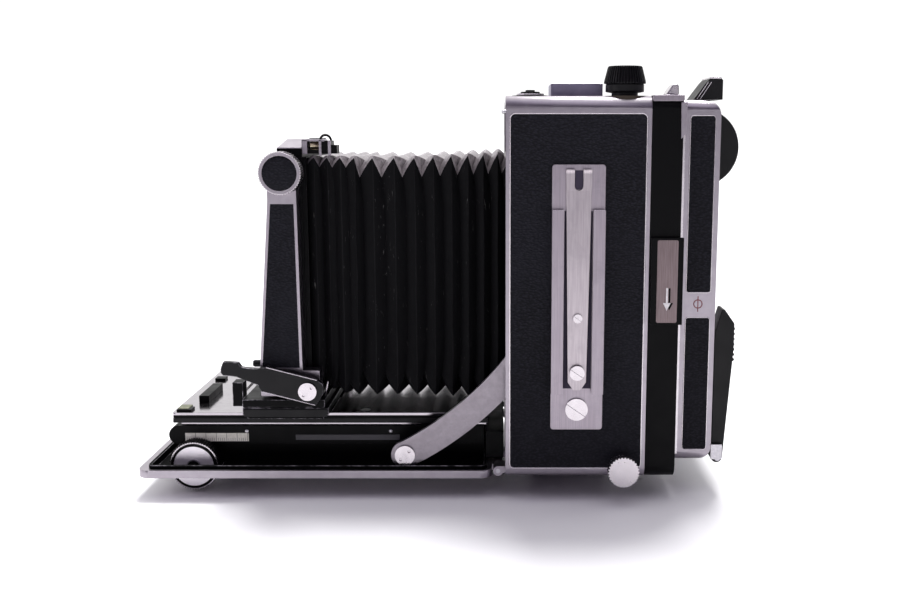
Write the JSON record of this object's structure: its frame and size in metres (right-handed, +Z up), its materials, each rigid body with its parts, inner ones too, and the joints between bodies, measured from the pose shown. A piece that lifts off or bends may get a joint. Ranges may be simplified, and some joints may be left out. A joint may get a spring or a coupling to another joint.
{
  "type": "folding camera",
  "caption": "Drop-bed folding camera with pleated bellows, focusing track, movable front standard, extending back and roll-film back.",
  "frame": {"origin": "mouth of the tripod socket, at the bottom centre of the tripod block", "axes": "+Z up; the lens end points along -X and the film back along +X; -Y is the camera's left side, with the accessory shoe"},
  "size_m": [0.2532, 0.1468, 0.1785],
  "materials": {
    "satin_aluminium": "satin anodised",
    "shoe_aluminium": "brushed, worn",
    "bright_metal": "satin nickel",
    "black_leather": "pebbled",
    "black_enamel": "semi-gloss, worn at edges",
    "crackle_black": "matt crackle",
    "grey_enamel": "matt grey",
    "bellows_cloth": "pleated leathercloth",
    "black_plastic": "matt",
    "scale_white": "printed strip",
    "brass": "lacquered",
    "steel": "brushed"
  },
  "bodies": {
    "case": {"case_shell": "satin_aluminium", "side_leathers": "black_leather", "tripod_block": "black_enamel", "tripod_bush": "steel", "hinge_pins": "steel", "side_shoe": "shoe_aluminium", "side_shoe_spring": "shoe_aluminium", "side_shoe_screws": "bright_metal", "finder_shoe": "shoe_aluminium", "rod_guides": "steel", "strut_guides": "steel", "body_track": "black_enamel", "bellows": "bellows_cloth"},
    "finder_knob": {"finder_knob": "black_plastic"},
    "bed_button": {"bed_release_button": "black_enamel"},
    "back_lock_left": {"back_lock_knob_left": "bright_metal"},
    "back_lock_right": {"back_lock_knob_right": "bright_metal"},
    "bed": {"bed": "satin_aluminium", "bed_liner": "crackle_black", "bed_rails": "black_enamel", "distance_scales": "scale_white", "shaft_bearings": "steel", "strut_lugs": "black_enamel", "strut_screws": "bright_metal"},
    "strut_left": {"strut_left": "steel"},
    "strut_right": {"strut_right": "steel"},
    "focus_drive": {"focus_shaft": "steel", "focus_knobs": "black_enamel", "focus_knob_discs": "bright_metal"},
    "focus_lock": {"focus_lock_lever": "bright_metal"},
    "track": {"track_plate": "grey_enamel", "track_racks": "steel", "track_stops": "black_enamel"},
    "carriage": {"standard_carriage": "black_enamel"},
    "shift": {"shift_block": "black_enamel", "tilt_screws": "bright_metal"},
    "lock_lever": {"lock_lever": "black_enamel"},
    "u_frame": {"u_frame": "satin_aluminium", "arm_leathers": "black_leather"},
    "arm_knob_left": {"arm_knob_left": "bright_metal"},
    "arm_knob_right": {"arm_knob_right": "bright_metal"},
    "lens": {"lens_frame": "black_enamel", "lens_board": "black_enamel", "bellows_front_frame": "black_enamel", "top_bridge": "black_enamel", "bridge_roller": "brass"},
    "board_latch": {"board_latch": "bright_metal"},
    "back": {"back_frame": "black_enamel", "extension_rods": "steel", "film_back": "satin_aluminium", "back_leathers": "black_leather", "spool_covers": "black_plastic", "counter_housing": "black_plastic", "lever_bracket": "steel"},
    "release": {"release_slider": "black_enamel", "hook_bar": "bright_metal"},
    "dark_slide": {"dark_slide": "steel"},
    "advance_lever": {"advance_lever": "black_plastic"},
    "take_up_spool": {"take_up_spool": "black_plastic"},
    "supply_spool": {"supply_spool": "black_plastic"}
  },
  "joints": [
    {"name": "bed_drop", "type": "hinge", "parent": "case", "child": "bed", "pos_m": [-0.0319, 0, 0.0112], "axis": [0, 1, 0], "range_deg": [-15, 0], "deforming": ["bellows"]},
    {"name": "strut_left_fold", "type": "hinge", "parent": "bed", "child": "strut_left", "pos_m": [-0.0712, -0.055, 0.0176], "axis": [0, 1, 0], "range_deg": [0, 16]},
    {"name": "strut_right_fold", "type": "hinge", "parent": "bed", "child": "strut_right", "pos_m": [-0.0712, 0.055, 0.0176], "axis": [0, 1, 0], "range_deg": [0, 16]},
    {"name": "track_slide", "type": "slide", "parent": "bed", "child": "track", "axis": [-1, 0, 0], "range_m": [0, 0.025]},
    {"name": "focus_turn", "type": "hinge", "parent": "bed", "child": "focus_drive", "pos_m": [-0.162, 0, 0.0112], "axis": [0, 1, 0], "range_deg": [-400, 0]},
    {"name": "focus_lock_turn", "type": "hinge", "parent": "bed", "child": "focus_lock", "pos_m": [-0.146, 0, 0.013], "axis": [0, 0, 1], "range_deg": [-25, 25]},
    {"name": "standard_slide", "type": "slide", "parent": "track", "child": "carriage", "axis": [1, 0, 0], "range_m": [-0.015, 0.025]},
    {"name": "front_shift", "type": "slide", "parent": "carriage", "child": "shift", "axis": [0, 1, 0], "range_m": [-0.01, 0.01]},
    {"name": "lock_lever_turn", "type": "hinge", "parent": "shift", "child": "lock_lever", "pos_m": [-0.1121, -0.0515, 0.0444], "axis": [0, 1, 0], "range_deg": [0, 50]},
    {"name": "front_tilt", "type": "hinge", "parent": "shift", "child": "u_frame", "pos_m": [-0.1121, 0, 0.0444], "axis": [0, 1, 0], "range_deg": [0, 12]},
    {"name": "arm_knob_left_turn", "type": "hinge", "parent": "u_frame", "child": "arm_knob_left", "pos_m": [-0.1211, -0.05, 0.1357], "axis": [0, -1, 0], "range_deg": [0, 180]},
    {"name": "arm_knob_right_turn", "type": "hinge", "parent": "u_frame", "child": "arm_knob_right", "pos_m": [-0.1211, 0.05, 0.1357], "axis": [0, 1, 0], "range_deg": [0, 180]},
    {"name": "front_rise", "type": "slide", "parent": "u_frame", "child": "lens", "axis": [0, 0, 1], "range_m": [0, 0.02]},
    {"name": "board_latch_slide", "type": "slide", "parent": "lens", "child": "board_latch", "axis": [0, 0, 1], "range_m": [0, 0.0035], "stiffness_N_per_m": 300},
    {"name": "bed_button_press", "type": "slide", "parent": "case", "child": "bed_button", "axis": [0, 0, -1], "range_m": [0, 0.0015], "stiffness_N_per_m": 400},
    {"name": "finder_knob_turn", "type": "hinge", "parent": "case", "child": "finder_knob", "pos_m": [0.0193, -0.052, 0.17], "axis": [0, 0, 1], "range_deg": [0, 270]},
    {"name": "back_lock_left_turn", "type": "hinge", "parent": "case", "child": "back_lock_left", "pos_m": [0.0193, -0.07, 0.0155], "axis": [0, -1, 0], "range_deg": [0, 180]},
    {"name": "back_lock_right_turn", "type": "hinge", "parent": "case", "child": "back_lock_right", "pos_m": [0.0193, 0.07, 0.0155], "axis": [0, 1, 0], "range_deg": [0, 180]},
    {"name": "back_extension", "type": "slide", "parent": "case", "child": "back", "axis": [1, 0, 0], "range_m": [0, 0.028]},
    {"name": "back_release", "type": "slide", "parent": "back", "child": "release", "axis": [0, 0, -1], "range_m": [0, 0.005]},
    {"name": "dark_slide_pull", "type": "slide", "parent": "back", "child": "dark_slide", "axis": [0, 1, 0], "range_m": [0, 0.07]},
    {"name": "advance_lever_swing", "type": "hinge", "parent": "back", "child": "advance_lever", "pos_m": [0.0616, -0.045, 0.015], "axis": [0, 1, 0], "range_deg": [0, 75]},
    {"name": "take_up_turn", "type": "hinge", "parent": "back", "child": "take_up_spool", "pos_m": [0.0554, 0, 0.1458], "axis": [0, 1, 0], "range_deg": [0, 190]},
    {"name": "supply_turn", "type": "hinge", "parent": "back", "child": "supply_spool", "pos_m": [0.0554, 0, 0.0319], "axis": [0, 1, 0], "range_deg": [0, 150]}
  ],
  "couplings": [
    {"joint": "strut_left_fold", "follows": "bed_drop", "ratio": -1.031},
    {"joint": "strut_right_fold", "follows": "bed_drop", "ratio": -1.031},
    {"joint": "focus_turn", "follows": "track_slide", "rad_per_m": -277.77},
    {"joint": "take_up_turn", "follows": "advance_lever_swing", "ratio": 2.5},
    {"joint": "supply_turn", "follows": "advance_lever_swing", "ratio": 1.94}
  ]
}
